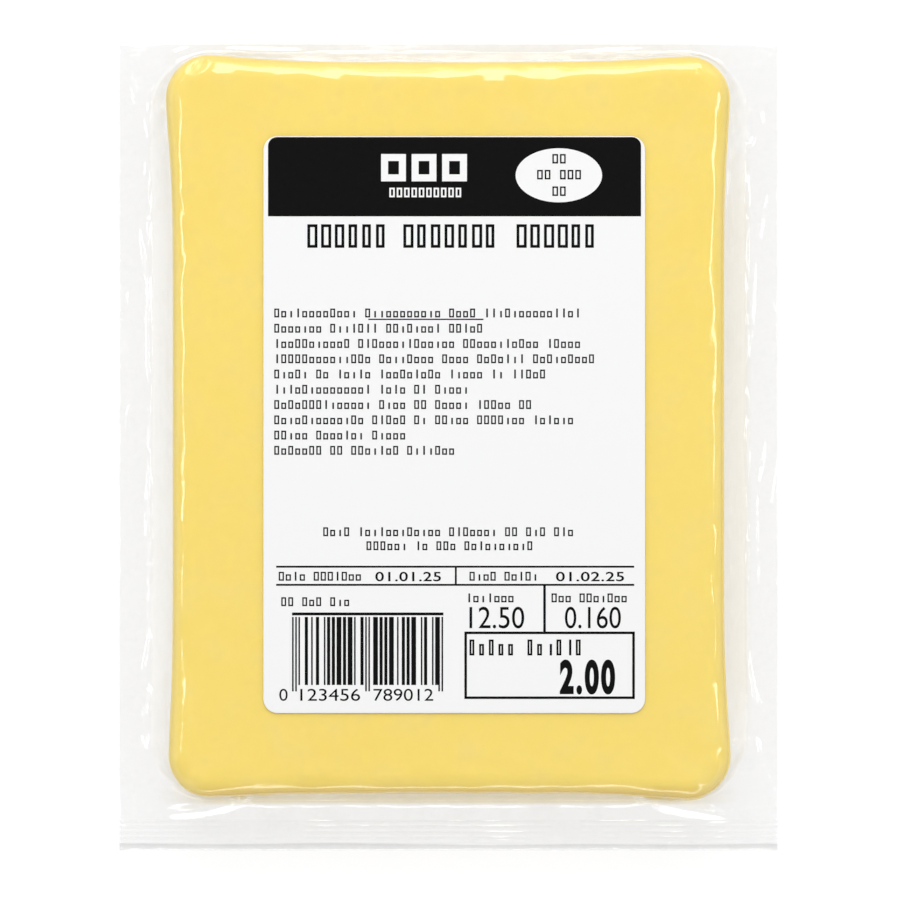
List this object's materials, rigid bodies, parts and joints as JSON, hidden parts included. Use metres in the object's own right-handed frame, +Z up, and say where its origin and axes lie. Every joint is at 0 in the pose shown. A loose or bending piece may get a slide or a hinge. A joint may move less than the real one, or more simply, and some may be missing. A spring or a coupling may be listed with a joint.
{
  "type": "pack of sliced cheese",
  "caption": "Sealed clear film pouch round a flat stack of yellow cheese slices, with a paper scale label on its top face.",
  "frame": {"origin": "on the table under the middle of the pouch's outline, which lies on its back", "axes": "+Z up out of the labelled face, +Y towards the end at the label's heading, +X to the label's right"},
  "size_m": [0.1042, 0.1276, 0.0141],
  "materials": {
    "cheese_in_film": "glossy clear film drawn tight over pale yellow cheese",
    "cheddar": "pale yellow cheddar, close and slightly waxy",
    "clear_film": "clear glossy laminate film",
    "label_ink": "black thermal print",
    "label_paper": "smooth white thermal paper, satin"
  },
  "bodies": {
    "root": {"pouch": "cheese_in_film", "label": "label_paper"}
  },
  "joints": []
}
